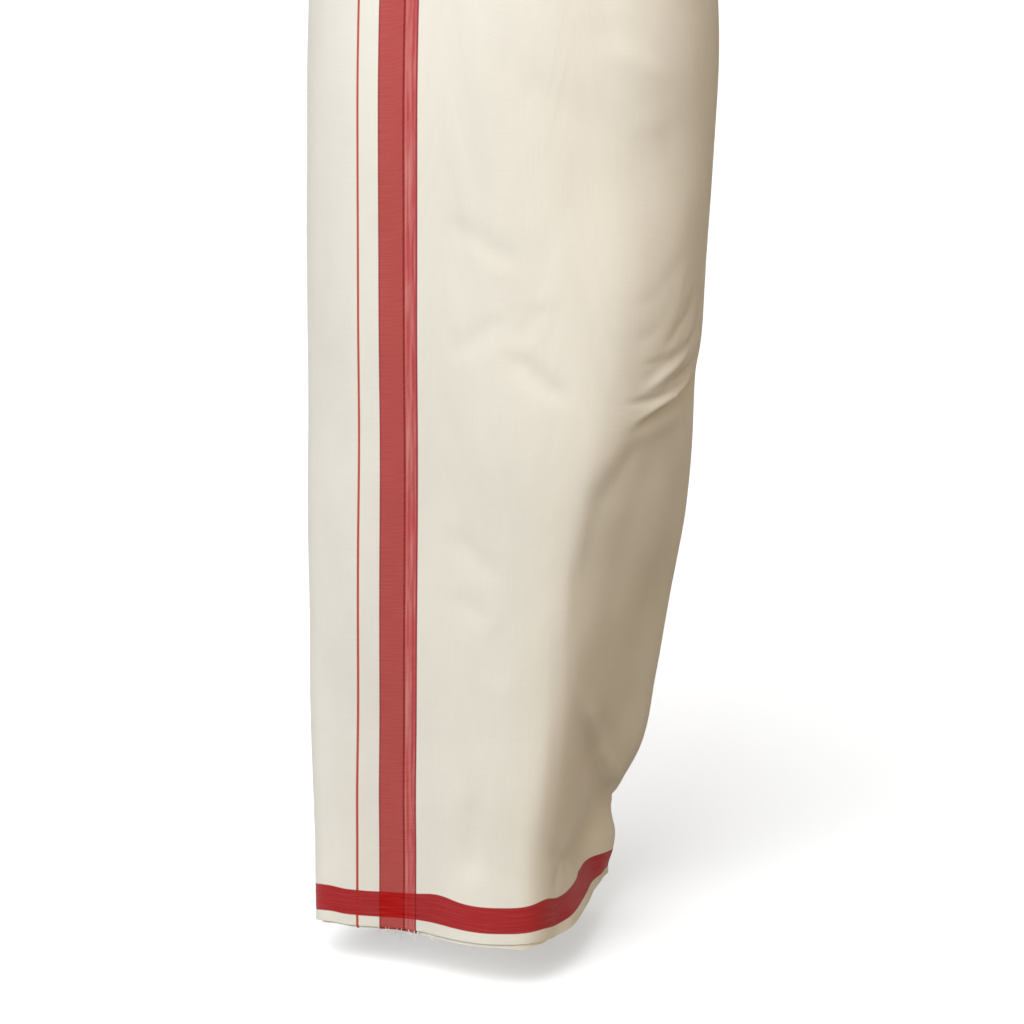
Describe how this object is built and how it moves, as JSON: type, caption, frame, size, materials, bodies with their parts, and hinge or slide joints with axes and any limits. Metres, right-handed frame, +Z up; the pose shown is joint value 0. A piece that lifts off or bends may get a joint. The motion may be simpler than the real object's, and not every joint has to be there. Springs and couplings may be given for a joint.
{
  "type": "wrapped dhoti cloth",
  "caption": "Ankle-length wrapped waistcloth as worn, rolled at the waist, falling in a smooth front panel with a folded side and woven border stripes.",
  "frame": {"origin": "centre of the waist opening where the cloth is held on the wearer, at the middle of the rolled top", "axes": "+Z up towards the wearer's head, the front panel faces -Y, +X towards the wearer's left (picture right)"},
  "size_m": [0.3638, 0.2898, 1.0287],
  "materials": {
    "dhoti_cloth": "matte"
  },
  "bodies": {
    "root": {"front_wrap": "dhoti_cloth", "back_wrap": "dhoti_cloth", "under_wrap": "dhoti_cloth", "waist_roll": "dhoti_cloth"}
  },
  "joints": []
}
